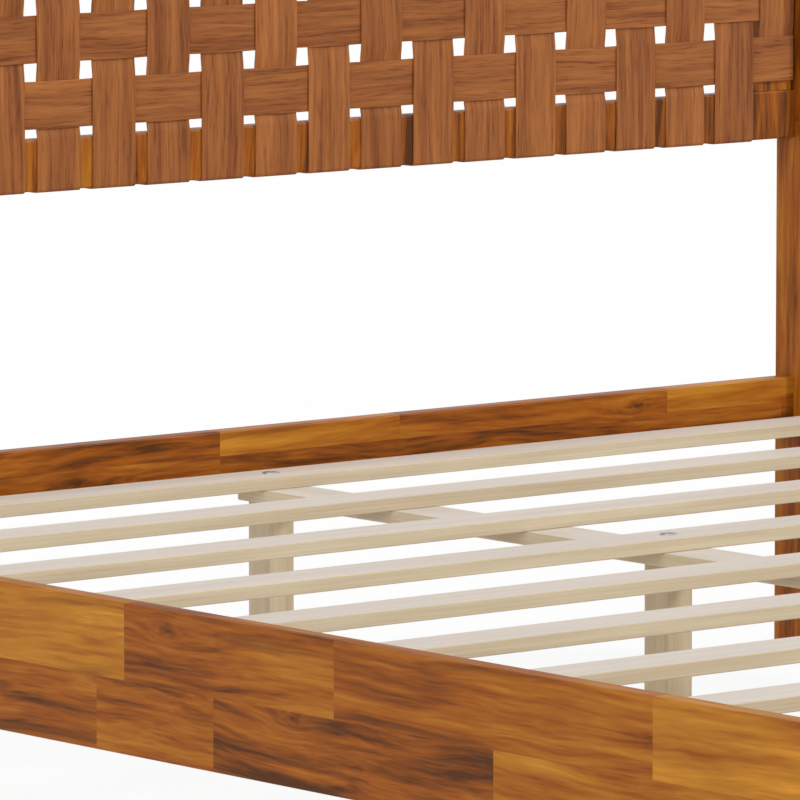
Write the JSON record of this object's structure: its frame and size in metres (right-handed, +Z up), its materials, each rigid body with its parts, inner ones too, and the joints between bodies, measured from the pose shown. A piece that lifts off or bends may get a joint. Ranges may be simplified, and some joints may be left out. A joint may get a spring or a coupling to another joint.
{
  "type": "bed",
  "caption": "Low wooden king-size bed with a woven strip headboard, slatted deck and a centre beam on square legs.",
  "frame": {"origin": "on the floor, under the middle of the bed", "axes": "+X across the bed, to the right of someone at the foot who looks at the headboard; +Y towards the headboard; +Z up"},
  "size_m": [1.984, 2.189, 1.206],
  "materials": {
    "acacia": "block-jointed acacia, oiled, low sheen",
    "strip_veneer": "bent reddish-brown veneer strips, matt",
    "slat_wood": "bare planed poplar",
    "steel": "zinc-plated fittings",
    "glide": "moulded nylon"
  },
  "bodies": {
    "root": {"bracket_bolts": "steel", "centre_beam": "slat_wood", "centre_leg_1": "slat_wood", "centre_leg_2": "slat_wood", "centre_leg_3": "slat_wood", "centre_leg_4": "slat_wood", "corner_brackets": "steel", "floor_glides": "glide", "foot_post_left": "acacia", "foot_post_right": "acacia", "foot_rail": "acacia", "head_post_left": "acacia", "head_post_right": "acacia", "head_rail": "acacia", "headboard_lower_rail": "acacia", "headboard_stile_left": "acacia", "headboard_stile_right": "acacia", "headboard_upper_rail": "acacia", "level_strip_1": "strip_veneer", "level_strip_2": "strip_veneer", "level_strip_3": "strip_veneer", "level_strip_4": "strip_veneer", "level_strip_5": "strip_veneer", "side_cleat_left": "slat_wood", "side_cleat_right": "slat_wood", "side_rail_left": "acacia", "side_rail_right": "acacia", "slat_1": "slat_wood", "slat_2": "slat_wood", "slat_3": "slat_wood", "slat_4": "slat_wood", "slat_5": "slat_wood", "slat_6": "slat_wood", "slat_7": "slat_wood", "slat_8": "slat_wood", "slat_9": "slat_wood", "slat_bolts": "steel", "upright_strip_01": "strip_veneer", "upright_strip_02": "strip_veneer", "upright_strip_03": "strip_veneer", "upright_strip_04": "strip_veneer", "upright_strip_05": "strip_veneer", "upright_strip_06": "strip_veneer", "upright_strip_07": "strip_veneer", "upright_strip_08": "strip_veneer", "upright_strip_09": "strip_veneer", "upright_strip_10": "strip_veneer", "upright_strip_11": "strip_veneer", "upright_strip_12": "strip_veneer", "upright_strip_13": "strip_veneer", "upright_strip_14": "strip_veneer", "upright_strip_15": "strip_veneer", "upright_strip_16": "strip_veneer", "upright_strip_17": "strip_veneer", "upright_strip_18": "strip_veneer", "upright_strip_19": "strip_veneer", "upright_strip_20": "strip_veneer", "upright_strip_21": "strip_veneer", "upright_strip_22": "strip_veneer"}
  },
  "joints": []
}
